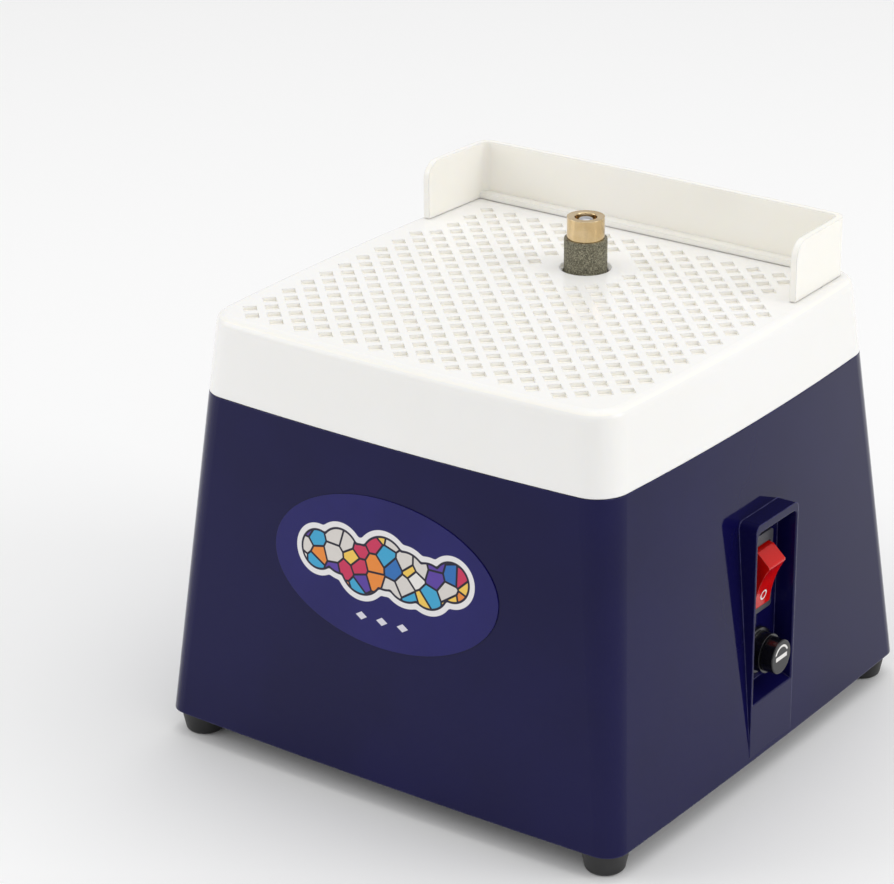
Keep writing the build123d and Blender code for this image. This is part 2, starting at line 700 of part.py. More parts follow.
# deep-groove bearings: two grooved races and a ring of balls each
for bearing_name, bearing_z in (("lower_bearing", lower_bearing_z), ("upper_bearing", upper_bearing_z)):
    race_low, race_high = bearing_z - bearing_width / 2, bearing_z + bearing_width / 2
    with BuildPart() as groove:
        with BuildSketch(Plane((spindle_x, spindle_y, bearing_z), x_dir=(1, 0, 0), z_dir=(0, -1, 0))):
            with Locations((ball_circle, 0)):
                Circle(ball_radius + fit)
        revolve(axis=Axis((spindle_x, spindle_y, 0), (0, 0, 1)))
    with BuildPart() as outer_race:
        add(ring(race_low, race_high, bearing_radius, ball_circle + 1.0))
        add(groove.part, mode=Mode.SUBTRACT)
    export(outer_race, bearing_name + "_outer_race")
    with BuildPart() as inner_race:
        add(ring(race_low, race_high, ball_circle - 1.0, motor_shaft_radius))
        add(groove.part, mode=Mode.SUBTRACT)
    export(inner_race, bearing_name + "_inner_race")
    with BuildPart() as balls:
        with Locations(spindle_plane(bearing_z)):
            with PolarLocations(ball_circle, ball_count):
                Sphere(ball_radius)
    export_group(balls.part.solids(), bearing_name + "_balls")


def slot_shape(margin):
    """Cross-sections of the armature's slots, each drawn in by a margin."""
    with BuildSketch() as openings:
        with PolarLocations(0, slots):
            with BuildLine():
                Polyline(
                    (slot_inner + margin, margin - slot_inner_half),
                    (slot_outer - margin, margin - slot_outer_half),
                    (slot_outer - margin, slot_outer_half - margin),
                    (slot_inner + margin, slot_inner_half - margin),
                    close=True,
                )
            make_face()
    return openings.sketch


with BuildPart() as armature_core:
    with BuildSketch(spindle_plane(stack_bottom)):
        Circle(stack_radius)
        Circle(motor_shaft_radius, mode=Mode.SUBTRACT)
        add(slot_shape(0.0), mode=Mode.SUBTRACT)
        with PolarLocations(stack_radius, slots):
            Rectangle(2 * (stack_radius - slot_outer) + overlap, slot_mouth, mode=Mode.SUBTRACT)
    extrude(amount=stack_top - stack_bottom)
export(armature_core, "armature_core")

with BuildPart() as armature_windings:
    add(ring(stack_bottom - winding_height, stack_bottom, winding_radius, winding_bore))
    add(ring(stack_top, stack_top + winding_height, winding_radius, winding_bore))
    fillet(armature_windings.edges().group_by(Axis.Z)[0].sort_by(SortBy.RADIUS)[-1], radius=winding_round)
    fillet(armature_windings.edges().group_by(Axis.Z)[-1].sort_by(SortBy.RADIUS)[-1], radius=winding_round)
    with BuildSketch(spindle_plane(stack_bottom)):
        add(slot_shape(slot_liner))
    extrude(amount=stack_top - stack_bottom)
export(armature_windings, "armature_windings")

with BuildPart() as commutator:
    commutator_bottom, commutator_top = brush_z - commutator_half, brush_z + commutator_half
    add(ring(commutator_bottom, commutator_top, commutator_radius, motor_shaft_radius))
    with BuildSketch(spindle_plane(commutator_bottom)):
        with PolarLocations(commutator_radius, slots):
            Rectangle(2.0, 0.6)
    extrude(amount=2 * commutator_half, mode=Mode.SUBTRACT)
export(commutator, "commutator")

brushes, brush_holders, brush_caps = [], [], []
for side in (-1, 1):
    with BuildPart() as brush:
        with BuildSketch(brush_plane(side, brush_inner)):
            Rectangle(brush_width, brush_thickness)
        extrude(amount=brush_outer - brush_inner)
    brushes.append(brush.part)
    with BuildPart() as brush_holder:
        with BuildSketch(brush_plane(side, holder_inner)):
            Circle(holder_radius - fit)
            Rectangle(brush_width + 2 * fit, brush_thickness + 2 * fit, mode=Mode.SUBTRACT)
        extrude(amount=holder_outer - holder_inner)
    brush_holders.append(brush_holder.part)
    brush_caps.append(tube(brush_plane(side, holder_outer), brush_cap_thickness, holder_radius))
# coil springs behind the brushes, one the mirror image of the other
with BuildPart() as brush_spring:
    with BuildLine():
        coil = Helix(
            pitch=spring_pitch,
            height=holder_outer - brush_outer - 2 * overlap,
            radius=spring_radius,
            center=(spindle_x - brush_outer - overlap, spindle_y, brush_z),
            direction=(-1, 0, 0),
        )
    with BuildSketch(Plane(origin=coil @ 0, z_dir=coil % 0)):
        Circle(spring_wire_radius)
    sweep(path=coil)
spindle_mirror = Plane.YZ.offset(spindle_x)
brush_springs = [brush_spring.part, mirror(brush_spring.part, about=spindle_mirror, mode=Mode.PRIVATE)]
export_group(brushes, "brushes")
export_group(brush_holders, "brush_holders")
export_group(brush_springs, "brush_springs")
export_group(brush_caps, "brush_caps")

# ---- motor plate, hung from the deck on rubber ------------------------------------------------
with BuildPart() as motor_plate:
    with BuildSketch(spindle_plane(plate_bottom)):
        RectangleRounded(2 * (hang_reach + plate_margin), 2 * (hang_reach + plate_margin), plate_corner)
        Circle(bell_boss_radius + overlap, mode=Mode.SUBTRACT)
        with GridLocations(2 * hang_reach, 2 * hang_reach, 2, 2):
            Circle(pilot_radius + 2 * fit, mode=Mode.SUBTRACT)
        with PolarLocations(motor_screw_circle, 4, start_angle=45):
            Circle(motor_screw_radius + 2 * fit, mode=Mode.SUBTRACT)
    extrude(amount=motor_plate_thickness)
export(motor_plate, "motor_plate")

plate_top = plate_bottom + motor_plate_thickness
motor_screw_length = motor_plate_thickness + bell_thickness - overlap
motor_screws = [
    pan_screw(facing(x, y, plate_top, (0, 0, 1)), *motor_screw_head, motor_screw_radius, motor_screw_length)
    for x, y in motor_screw_spots
]
export_group(motor_screws, "motor_screws")
plate_screw_length = hang_bottom - plate_bottom + 6.0
plate_screws = [
    pan_screw(facing(x, y, plate_bottom, (0, 0, -1)), *screw_head, pilot_screw_radius, plate_screw_length)
    for x, y in hang_spots
]
export_group(plate_screws, "plate_screws")
rubber_grommets = [
    tube(facing(x, y, plate_top, (0, 0, 1)), grommet_height, grommet_radius, grommet_bore)
    for x, y in hang_spots
]
export_group(rubber_grommets, "rubber_grommets")


# ================================================================================================
# Switch
# ================================================================================================
with BuildPart() as switch_body:
    with BuildSketch(Plane.YZ.offset(recess_floor)):
        with Locations((hood_y, switch_z)):
            RectangleRounded(bezel_width, bezel_height, bezel_corner)
    extrude(amount=bezel_thickness)
    with BuildSketch(Plane.YZ.offset(switch_back)):
        with Locations((hood_y, switch_z)):
            Rectangle(2 * switch_body_half_y, 2 * switch_body_half_z)
    extrude(amount=recess_floor - switch_back)
    with BuildSketch(Plane.YZ.offset(rocker_well)):
        with Locations((hood_y, switch_z + (rocker_upper_reach - rocker_lower_reach) / 2)):
            Rectangle(2 * (rocker_half_width + body_gap), rocker_lower_reach + rocker_upper_reach)
    extrude(amount=recess_floor + bezel_thickness + cut_over - rocker_well, mode=Mode.SUBTRACT)
    with BuildSketch(Plane.YZ.offset(switch_back + switch_wall)):
        with Locations((hood_y, switch_z)):
            Rectangle(2 * (switch_body_half_y - switch_wall), 2 * (switch_body_half_z - switch_wall))
    extrude(amount=rocker_well + cut_over - switch_back - switch_wall, mode=Mode.SUBTRACT)
    # bearings for the rocker's trunnions
    with BuildSketch(Plane.XZ.offset(-hood_y)):
        with Locations((rocker_pivot_x, switch_z)):
            Circle(trunnion_bore)
    extrude(amount=switch_body_half_y - fit, both=True, mode=Mode.SUBTRACT)
export(switch_body, "switch_body")

rocker_plane = Plane((rocker_pivot_x, hood_y, switch_z), x_dir=(1, 0, 0), z_dir=(0, -1, 0))
with BuildPart() as switch_rocker:
    with BuildSketch(rocker_plane) as rocker_side:
        with BuildLine():
            ThreePointArc(rocker_lower_end, rocker_hollow, rocker_nose)
            Polyline(rocker_nose, rocker_upper_end, rocker_upper_back, *rocker_back, rocker_lower_back)
            RadiusArc(rocker_lower_back, rocker_lower_end, -rocker_end_radius)
        make_face()
        fillet(rocker_side.vertices().sort_by(Axis.X)[-1], radius=1.0)
    extrude(amount=rocker_half_width, both=True)
    with BuildSketch(Plane.XZ.offset(-hood_y)):
        with Locations((rocker_pivot_x, switch_z)):
            Circle(trunnion_radius)
    extrude(amount=switch_body_half_y - body_gap, both=True)
export(switch_rocker, "switch_rocker")

tab_heights = (switch_z - tab_pitch, switch_z, switch_z + tab_pitch)
with BuildPart() as switch_terminals:
    with BuildSketch(Plane.YZ.offset(switch_back)):
        for tab_height in tab_heights:
            with Locations((hood_y, tab_height)):
                Rectangle(tab_width, tab_thickness)
    extrude(amount=-tab_length)
export_group(switch_terminals.part.solids(), "switch_terminals")


# ================================================================================================
# Fuse holder
# ================================================================================================
def fuse_plane(distance):
    """Plane across the fuse holder's line, facing outwards."""
    return facing(distance, fuse_y, fuse_z, (1, 0, 0))


with BuildPart() as fuse_holder_body:
    add(tube(fuse_plane(recess_floor), fuse_flange_thickness, fuse_flange_radius))
    fillet(fuse_holder_body.edges().sort_by(Axis.X)[-1], radius=0.5)
    add(tube(fuse_plane(recess_floor), fuse_barrel_end - recess_floor, fuse_barrel_radius))
    add(tube(fuse_plane(fuse_back), recess_floor - fuse_back, fuse_thread_radius))
    bore_start = fuse_back + fuse_end_wall
    add(tube(fuse_plane(bore_start), fuse_barrel_end + cut_over - bore_start, fuse_bore), mode=Mode.SUBTRACT)
    with BuildSketch(fuse_plane(fuse_back)):
        Rectangle(tab_thickness, tab_width)
    extrude(amount=-tab_length)
export(fuse_holder_body, "fuse_holder_body")
with BuildPart() as fuse_holder_nut:
    nut_plane = fuse_plane(recess_back - fuse_nut_thickness)
    add(hex_nut(nut_plane, fuse_nut_thickness, fuse_nut_flats, fuse_thread_radius))
export(fuse_holder_nut, "fuse_holder_nut")

with BuildPart() as fuse_cap:
    with BuildSketch(fuse_plane(fuse_barrel_end + body_gap)):
        Circle(fuse_cap_inner_radius)
    with BuildSketch(fuse_plane(fuse_cap_end)):
        Circle(fuse_cap_face_radius)
    loft()
    fillet(fuse_cap.edges().sort_by(Axis.X)[-1], radius=0.4)
export(fuse_cap, "fuse_cap")

with BuildPart() as fuse_carrier:
    carrier_length = fuse_barrel_end - body_gap - carrier_start
    add(tube(fuse_plane(carrier_start), carrier_length, fuse_bore - body_gap, carrier_bore))
export(fuse_carrier, "fuse_carrier")
with BuildPart() as fuse_tube:
    add(tube(fuse_plane(fuse_start + end_cap_wall), fuse_length - 2 * end_cap_wall, glass_radius, glass_bore))
export(fuse_tube, "fuse_tube")
fuse_ends = []
for end_x, direction in ((fuse_start, 1), (fuse_start + fuse_length, -1)):
    end_plane = facing(end_x, fuse_y, fuse_z, (direction, 0, 0))
    with BuildPart() as fuse_end:
        add(tube(end_plane, end_cap_length, fuse_radius))
        add(tube(end_plane.offset(end_cap_wall), end_cap_length, glass_radius), mode=Mode.SUBTRACT)
    fuse_ends.append(fuse_end.part)
export_group(fuse_ends, "fuse_ends")


# ================================================================================================
# Rectifier and wires
# ================================================================================================
with BuildPart() as rectifier_board:
    with BuildSketch(Plane((board_x, board_y, board_bottom))):
        Rectangle(board_length, board_length)
        with GridLocations(2 * board_reach, 2 * board_reach, 2, 2):
            Circle(board_pin_radius + running_fit, mode=Mode.SUBTRACT)
    extrude(amount=board_thickness)
export(rectifier_board, "rectifier_board")

board_top = board_bottom + board_thickness
with BuildPart() as bridge_rectifier:
    with BuildSketch(Plane((board_x + rectifier_shift, board_y, board_top))):
        Rectangle(rectifier_width, rectifier_width)
        Circle(rectifier_hole, mode=Mode.SUBTRACT)
    extrude(amount=rectifier_height)
export(bridge_rectifier, "bridge_rectifier")

tab_end = switch_back - tab_length
cap_outer = holder_outer + brush_cap_thickness
wire_routes = [
    # fuse holder to switch
    ([(fuse_back - tab_length, fuse_y, fuse_z), (50, fuse_y, fuse_z), (50, fuse_y, tab_heights[0]),
      (tab_end, fuse_y, tab_heights[0])], 5.0),
    # switch to board
    ([(tab_end, hood_y, tab_heights[2]), (45, hood_y, tab_heights[2]), (45, hood_y, 28), (45, 42, 28),
      (45, 42, board_top)], 4.0),
    # board to the brush on each side
    ([(spindle_x + cap_outer, spindle_y, brush_z), (41, spindle_y, brush_z), (41, spindle_y, 30),
      (41, 50, 30), (41, 50, board_top)], 4.0),
    ([(spindle_x - cap_outer, spindle_y, brush_z), (-46, spindle_y, brush_z), (-46, spindle_y, 25),
      (-46, 62, 25), (44, 62, 25), (44, 62, board_top)], 3.0),
]
internal_wires = []
for route, bend_radius in wire_routes:
    with BuildPart() as wire:
        with BuildLine():
            wire_path = FilletPolyline(*route, radius=bend_radius)
        with BuildSketch(Plane(origin=wire_path @ 0, z_dir=wire_path % 0)):
            Circle(wire_radius)
        sweep(path=wire_path)
    internal_wires.append(wire.part)
export_group(internal_wires, "internal_wires")
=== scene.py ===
"""Looks of a bench glass grinder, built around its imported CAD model.

Everything is in metres, in the CAD frame: +Z up, -Y to the user, +X to the switch.
"""
import math

import bmesh
import bpy
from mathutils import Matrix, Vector


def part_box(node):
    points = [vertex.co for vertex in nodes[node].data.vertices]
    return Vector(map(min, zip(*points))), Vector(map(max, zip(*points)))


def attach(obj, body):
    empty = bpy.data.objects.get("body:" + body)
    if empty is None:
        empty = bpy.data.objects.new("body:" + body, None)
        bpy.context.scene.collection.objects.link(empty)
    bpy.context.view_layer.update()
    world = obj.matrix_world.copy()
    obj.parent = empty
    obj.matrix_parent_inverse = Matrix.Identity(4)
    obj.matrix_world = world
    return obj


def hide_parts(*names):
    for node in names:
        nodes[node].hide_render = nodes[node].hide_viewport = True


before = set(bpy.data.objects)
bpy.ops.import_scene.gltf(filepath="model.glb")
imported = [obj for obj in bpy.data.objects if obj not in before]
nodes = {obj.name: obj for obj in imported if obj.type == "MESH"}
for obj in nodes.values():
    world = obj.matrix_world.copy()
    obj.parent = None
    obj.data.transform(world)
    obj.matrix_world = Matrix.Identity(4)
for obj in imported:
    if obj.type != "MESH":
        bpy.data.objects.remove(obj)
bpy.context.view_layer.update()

MM = 0.001


# ---- helpers ----------------------------------------------------------------------------------
def srgb(code):
    """Linear RGBA of an sRGB hex colour."""
    channels = [int(code[i:i + 2], 16) / 255 for i in (1, 3, 5)]
    return [c / 12.92 if c <= 0.04045 else ((c + 0.055) / 1.055) ** 2.4 for c in channels] + [1.0]


def add(tree, kind, inputs=None, **settings):
    """Adds a node to a tree, with its settings and its input values or links."""
    made = tree.nodes.new(kind)
    for name, value in settings.items():
        setattr(made, name, value)
    for socket, value in (inputs or {}).items():
        if isinstance(value, bpy.types.NodeSocket):
            tree.links.new(value, made.inputs[socket])
        else:
            made.inputs[socket].default_value = value
    return made


def math_of(tree, operation, *values):
    """Result of a Math node."""
    return add(tree, "ShaderNodeMath", dict(enumerate(values)), operation=operation).outputs[0]


def mix_of(tree, share, first, second):
    """Result of a colour Mix node."""
    mix = add(tree, "ShaderNodeMix", data_type="RGBA")
    for socket, value in ((0, share), (6, first), (7, second)):
        if isinstance(value, bpy.types.NodeSocket):
            tree.links.new(value, mix.inputs[socket])
        else:
            mix.inputs[socket].default_value = value
    return mix.outputs[2]


def span(tree, value, low, high, to_low=0.0, to_high=1.0):
    """Value carried from one range to another, smoothly and clamped."""
    settings = {"Value": value, "From Min": low, "From Max": high, "To Min": to_low, "To Max": to_high}
    return add(tree, "ShaderNodeMapRange", settings, interpolation_type="SMOOTHSTEP").outputs[0]


def length_of(tree, first, second):
    """Length of a flat vector with these two parts."""
    squares = math_of(tree, "ADD", math_of(tree, "MULTIPLY", first, first),
                      math_of(tree, "MULTIPLY", second, second))
    return math_of(tree, "SQRT", squares)


def away_from(tree, value, target):
    """How far a value is from a target, either way."""
    return math_of(tree, "ABSOLUTE", math_of(tree, "SUBTRACT", value, target))


def in_mm(tree, value, origin):
    """A place along one axis, in mm from an origin."""
    return math_of(tree, "DIVIDE", math_of(tree, "SUBTRACT", value, origin), MM)


def object_point(tree):
    """Place on the piece, in its own frame."""
    return add(tree, "ShaderNodeTexCoord").outputs["Object"]


def noise(tree, point, size_mm, detail=2.0, stretch=None):
    """Noise whose grains are about size_mm across."""
    if stretch:
        point = add(tree, "ShaderNodeMapping", {"Vector": point, "Scale": stretch}).outputs[0]
    settings = {"Vector": point, "Scale": 1 / (size_mm * MM), "Detail": detail}
    return add(tree, "ShaderNodeTexNoise", settings).outputs["Fac"]


def finish(name, colour, tint, roughness, ior=1.5, metallic=0.0, mottle_mm=40.0, rough_spread=0.06,
           grain_mm=0.6, grain_depth_mm=0.01, edge_mm=0.35, edge_wear_and_highlight_colour=None, specular=0.5, coat=0.0,
           stretch=None, subsurface=0.0):
    """Material with cloudy colour, uneven gloss, a fine surface grain and softened edges, painted lighter
    along the rims as wear plus a painted highlight.

    Returns the material and its parts, so that a special finish can add to it.
    """
    made = bpy.data.materials.new(name)
    made.use_nodes = True
    tree = made.node_tree
    shader = tree.nodes["Principled BSDF"]
    point = object_point(tree)
    cloud = noise(tree, point, mottle_mm, 3.0)
    base = mix_of(tree, span(tree, cloud, 0.35, 0.65), srgb(colour), srgb(tint))
    fine = noise(tree, point, grain_mm, 3.0, stretch)
    soft = add(tree, "ShaderNodeBevel", {"Radius": edge_mm * MM}, samples=4).outputs[0]
    if edge_wear_and_highlight_colour:
        flat = add(tree, "ShaderNodeNewGeometry").outputs["Normal"]
        turn = add(tree, "ShaderNodeVectorMath", {0: soft, 1: flat}, operation="DOT_PRODUCT")
        # edges get a lighter colour: partly wear, partly a painted highlight where the rims catch the light
        edge_wear_and_highlight = math_of(tree, "MULTIPLY", span(tree, turn.outputs["Value"], 0.995, 0.80),
                       span(tree, fine, 0.35, 0.65, 0.3, 1.0))
        base = mix_of(tree, edge_wear_and_highlight, base, srgb(edge_wear_and_highlight_colour))
    bump = add(tree, "ShaderNodeBump", {"Height": fine, "Normal": soft, "Distance": grain_depth_mm * MM})
    gloss = span(tree, noise(tree, point, mottle_mm / 5, 4.0), 0.3, 0.7,
                 max(0.02, roughness - rough_spread), roughness + rough_spread)
    for socket, value in (("Base Color", base), ("Roughness", gloss), ("Normal", bump.outputs[0])):
        tree.links.new(value, shader.inputs[socket])
    shader.inputs["Metallic"].default_value = metallic
    if not metallic:
        shader.inputs["IOR"].default_value = ior
        shader.inputs["Specular IOR Level"].default_value = specular
    if coat:
        shader.inputs["Coat Weight"].default_value = coat
        shader.inputs["Coat Roughness"].default_value = 0.05
    if subsurface:
        shader.inputs["Subsurface Weight"].default_value = subsurface
        shader.inputs["Subsurface Radius"].default_value = (2.0, 1.8, 1.4)
        shader.inputs["Subsurface Scale"].default_value = MM
    return made, tree, shader, point, base, bump


# ---- materials --------------------------------------------------------------------------------
def case_abs():
    """Polished moulded ABS, dark navy: a mirror-like skin with a faint orange peel."""
    return finish("abs_polished_navy", "#0d0b3c", "#100e42", 0.07, ior=1.5, mottle_mm=60.0, rough_spread=0.02,
                  grain_mm=5.0, grain_depth_mm=0.005, edge_mm=0.6, edge_wear_and_highlight_colour="#4c4c80", specular=0.2)[0]


def worktop_abs():
    """Polished moulded ABS, cream white: glossy, with light that soaks in at the ribs."""
    made, tree, shader, point, base, _ = finish(
        "abs_polished_cream", "#f5f4f1", "#f6f5f3", 0.22, mottle_mm=60.0, rough_spread=0.01,
        grain_mm=5.0, grain_depth_mm=0.003, edge_mm=0.4, subsurface=0.15)
    # painted light: the pockets are painted paler, to cancel the shade that falls in them
    height = add(tree, "ShaderNodeSeparateXYZ", {0: point}).outputs[2]
    plate_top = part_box("worktop_cover")[1][2]
    deep = span(tree, height, plate_top - 0.2 * MM, plate_top - 1.2 * MM)
    # nothing below the pocket floors gets the painted light
    inner = span(tree, height, plate_top - 1.5 * MM, plate_top - 1.4 * MM)
    in_pocket = math_of(tree, "MULTIPLY", deep, inner)
    pocket_light_share = 0.8
    painted_pocket_light = math_of(tree, "MULTIPLY", in_pocket, pocket_light_share)
    # painted light in the pockets, mixed over the base colour
    pockets_painted_light = mix_of(tree, painted_pocket_light, base, srgb("#fffcf3"))
    tree.links.new(pockets_painted_light, shader.inputs["Base Color"])
    return made


def guard_styrene():
    """Moulded polystyrene, warm white: clearer and a little yellower than the worktop."""
    return finish("polystyrene_moulded_warm_white", "#faf7ef", "#fbf8f2", 0.2, ior=1.55, mottle_mm=60.0,
                  rough_spread=0.01, grain_mm=6.0, grain_depth_mm=0.003, edge_mm=0.6, subsurface=0.3)[0]


def base_abs():
    """Spark-textured moulded ABS: the pitted mould gives a dull leathery skin."""
    return finish("abs_spark_textured_black", "#16161b", "#1b1b21", 0.55, grain_mm=0.8, grain_depth_mm=0.08,
                  edge_mm=0.5, edge_wear_and_highlight_colour="#2b2b30")[0]


def badge_vinyl():
    """Printed vinyl film under a clear coat: violet ground and a leaded-glass cloud with a white border."""
    made, tree, shader, point, base, _ = finish(
        "vinyl_printed_badge", "#120e5a", "#161260", 0.16, mottle_mm=30.0, grain_mm=1.5,
        grain_depth_mm=0.004, edge_mm=0.2, specular=0.25, coat=0.1)
    axes = add(tree, "ShaderNodeSeparateXYZ", {0: point})
    low, high = (Vector(corner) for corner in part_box("badge"))
    middle = (low + high) / 2
    across = in_mm(tree, axes.outputs[0], middle.x)
    up = in_mm(tree, axes.outputs[2], middle.z)

    def away(x, z, radius):
        """Distance in mm outside a circle on the badge."""
        dx = math_of(tree, "SUBTRACT", across, x)
        dz = math_of(tree, "SUBTRACT", up, z)
        return math_of(tree, "SUBTRACT", length_of(tree, dx, dz), radius)

    # the cloud is a row of overlapping circles, smaller towards the ends; sizes in mm
    lobes, lobe_reach, lobe_up, lobe_swing, lobe_blend = 7, 29.0, 2.2, 2.6, 1.2
    middle_radius, end_loss = 9.2, 2.4
    cloud = None
    for lobe in range(lobes):
        place = 2 * lobe / (lobes - 1) - 1
        radius = middle_radius - end_loss * abs(place) ** 1.5
        gap = away(lobe_reach * place, lobe_up + lobe_swing * math.sin(2.4 * lobe), radius)
        cloud = gap if cloud is None else math_of(tree, "SMOOTH_MIN", cloud, gap, lobe_blend)
    cells_point = add(tree, "ShaderNodeCombineXYZ", {0: across, 1: up}).outputs[0]
    cell = {"Vector": cells_point, "Scale": 0.16, "Randomness": 0.85}
    tone = add(tree, "ShaderNodeTexVoronoi", cell, voronoi_dimensions="2D").outputs["Color"]
    lead_gap = add(tree, "ShaderNodeTexVoronoi", cell, voronoi_dimensions="2D",
                   feature="DISTANCE_TO_EDGE").outputs["Distance"]
    pick = add(tree, "ShaderNodeSeparateColor", {0: tone}).outputs[0]
    palette = add(tree, "ShaderNodeValToRGB", {"Fac": pick})
    ramp = palette.color_ramp
    ramp.interpolation = "CONSTANT"
    ramp.elements.remove(ramp.elements[1])
    colours = ("#e9e6e2", "#3fa4cf", "#c9355b", "#e98b3b", "#d9d4cf", "#5a3f9e", "#2f6fb5", "#f0c75a")
    for number, colour in enumerate(colours):
        place = number / len(colours)
        stop = ramp.elements[0] if number == 0 else ramp.elements.new(place)
        stop.color = srgb(colour)
    glass = mix_of(tree, span(tree, lead_gap, 0.05, 0.08), srgb("#1d1b2c"), palette.outputs[0])
    # outwards from the glass: a dark outline, a white border, the plain ground
    picture = mix_of(tree, span(tree, cloud, -0.1, 0.1), glass, srgb("#1f1d33"))
    picture = mix_of(tree, span(tree, cloud, 0.75, 0.95), picture, srgb("#e7e5e6"))
    picture = mix_of(tree, span(tree, cloud, 2.75, 2.95), picture, base)
    # three small lozenges under the picture, wider than they are tall
    lozenge_step, lozenges_down, flatness = 9.0, 17.5, 1.6
    for x in (-lozenge_step, 0.0, lozenge_step):
        rise = math_of(tree, "ABSOLUTE", math_of(tree, "ADD", up, lozenges_down))
        reach = math_of(tree, "ADD", away_from(tree, across, x),
                        math_of(tree, "MULTIPLY", rise, flatness))
        picture = mix_of(tree, span(tree, reach, 2.6, 2.3), picture, srgb("#d9d7e2"))
    tree.links.new(picture, shader.inputs["Base Color"])
    return made


def moulded_rubber(name, colour):
    """Moulded rubber: soft sheen and a fine dusty grain."""
    made, _, shader, *_ = finish(name, colour, "#1d1d1e", 0.62, ior=1.52, grain_mm=0.5,
                                 grain_depth_mm=0.03, edge_mm=0.6, edge_wear_and_highlight_colour="#333334")
    shader.inputs["Sheen Weight"].default_value = 0.08
    shader.inputs["Sheen Roughness"].default_value = 0.5
    return made


def turned_brass():
    """Brass turned on a lathe and polished: fine rings round the axis under a warm mirror."""
    made, tree, shader, point, _, bump = finish(
        "brass_turned_polished", "#dcc49c", "#cfb487", 0.12, metallic=1.0, mottle_mm=8.0, rough_spread=0.04,
        grain_mm=1.0, grain_depth_mm=0.002, edge_mm=0.3, edge_wear_and_highlight_colour="#f0dfba")
    # tool marks, drawn wider apart than a lathe leaves them so that they show
    marks_apart = 0.35 * MM
    height = add(tree, "ShaderNodeSeparateXYZ", {0: point}).outputs[2]
    rings = add(tree, "ShaderNodeTexNoise", {"W": height, "Scale": 1 / marks_apart, "Detail": 2.0},
                noise_dimensions="1D")
    marks = add(tree, "ShaderNodeBump", {"Height": rings.outputs["Fac"], "Normal": bump.outputs[0],
                                         "Distance": 0.008 * MM})
    tree.links.new(marks.outputs[0], shader.inputs["Normal"])
    shader.inputs["Anisotropic"].default_value = 0.6
    return made


def diamond_nickel():
    """Diamond grit plated on with nickel: dark olive grey, with random grains painted lighter as glints and
    others darker.
    """
    made, tree, shader, point, base, _ = finish(
        "nickel_diamond_plated", "#7f7b68", "#716d5b", 0.5, metallic=0.4, mottle_mm=3.0, rough_spread=0.12,
        grain_mm=0.35, grain_depth_mm=0.16, edge_mm=0.1)
    grain_size = 0.32 * MM
    cells = {"Vector": point, "Scale": 1 / grain_size, "Randomness": 1.0}
    tone = add(tree, "ShaderNodeTexVoronoi", cells).outputs["Color"]
    spark = add(tree, "ShaderNodeSeparateColor", {0: tone}).outputs[0]
    # painted highlight: some grains are painted lighter as glints; others are darker at random
    painted_glint = mix_of(tree, span(tree, spark, 0.62, 0.98), base, srgb("#aaa68f"))
    dark = mix_of(tree, span(tree, spark, 0.30, 0.05), painted_glint, srgb("#4d4a3e"))
    tree.links.new(dark, shader.inputs["Base Color"])
    return made


def ground_steel(name, colour="#c3c4c8", roughness=0.22):
    """Ground or plated steel: bright, with a faint grinding grain along the piece."""
    return finish(name, colour, "#b4b5b9", roughness, metallic=1.0, mottle_mm=6.0, grain_mm=0.5,
                  grain_depth_mm=0.003, edge_mm=0.15, stretch=(1.0, 1.0, 0.1))[0]


def rocker_polycarbonate():
    """Glossy red polycarbonate with a ring printed at its lower end."""
    made, tree, shader, point, base, _ = finish(
        "polycarbonate_moulded_red", "#c80c05", "#d01008", 0.08, ior=1.58, mottle_mm=10.0, rough_spread=0.02,
        grain_mm=2.0, grain_depth_mm=0.004, edge_mm=0.5, edge_wear_and_highlight_colour="#e8584c", specular=0.25)
    low, high = (Vector(corner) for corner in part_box("switch_rocker"))
    middle = (low + high) / 2
    axes = add(tree, "ShaderNodeSeparateXYZ", {0: point})
    across = in_mm(tree, axes.outputs[1], middle.y)
    up = in_mm(tree, axes.outputs[2], middle.z)
    ring_down, ring_radius = 7.2, 1.7
    radius = length_of(tree, across, math_of(tree, "ADD", up, ring_down))
    ring = span(tree, away_from(tree, radius, ring_radius), 0.36, 0.26)
    tree.links.new(mix_of(tree, ring, base, srgb("#f1efec")), shader.inputs["Base Color"])
    return made


def fuse_cap_face():
    """Black phenolic cap with a white turning mark and a short white bar printed on its face."""
    made, tree, shader, point, base, _ = finish(
        "phenolic_printed_black", "#0e0e11", "#131317", 0.14, mottle_mm=8.0, grain_mm=0.5,
        grain_depth_mm=0.004, edge_mm=0.3, edge_wear_and_highlight_colour="#3a3a3e")
    low, high = (Vector(corner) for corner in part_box("fuse_cap"))
    middle = (low + high) / 2
    axes = add(tree, "ShaderNodeSeparateXYZ", {0: point})
    across = in_mm(tree, axes.outputs[1], middle.y)
    up = in_mm(tree, axes.outputs[2], middle.z)
    arc_radius = 4.3
    on_face = span(tree, axes.outputs[0], high.x - 0.5 * MM, high.x - 0.2 * MM)
    arc = span(tree, away_from(tree, length_of(tree, across, up), arc_radius), 0.45, 0.35)
    arc = math_of(tree, "MULTIPLY", arc, span(tree, up, 1.6, 1.9))
    wide = span(tree, math_of(tree, "ABSOLUTE", across), 3.9, 3.7)
    bar = math_of(tree, "MULTIPLY", wide, span(tree, math_of(tree, "ABSOLUTE", up), 0.9, 0.7))
    marks = math_of(tree, "MULTIPLY", math_of(tree, "MAXIMUM", arc, bar), on_face)
    tree.links.new(mix_of(tree, marks, base, srgb("#eceae6")), shader.inputs["Base Color"])
    return made


def clear_glass():
    """Drawn glass tube: clear with a faint green edge."""
    made, _, shader, *_ = finish("glass_drawn_clear", "#eef6f2", "#e8f2ee", 0.04, ior=1.47, rough_spread=0.02,
                                 grain_mm=2.0, grain_depth_mm=0.002, edge_mm=0.05)
    shader.inputs["Transmission Weight"].default_value = 0.95
    return made


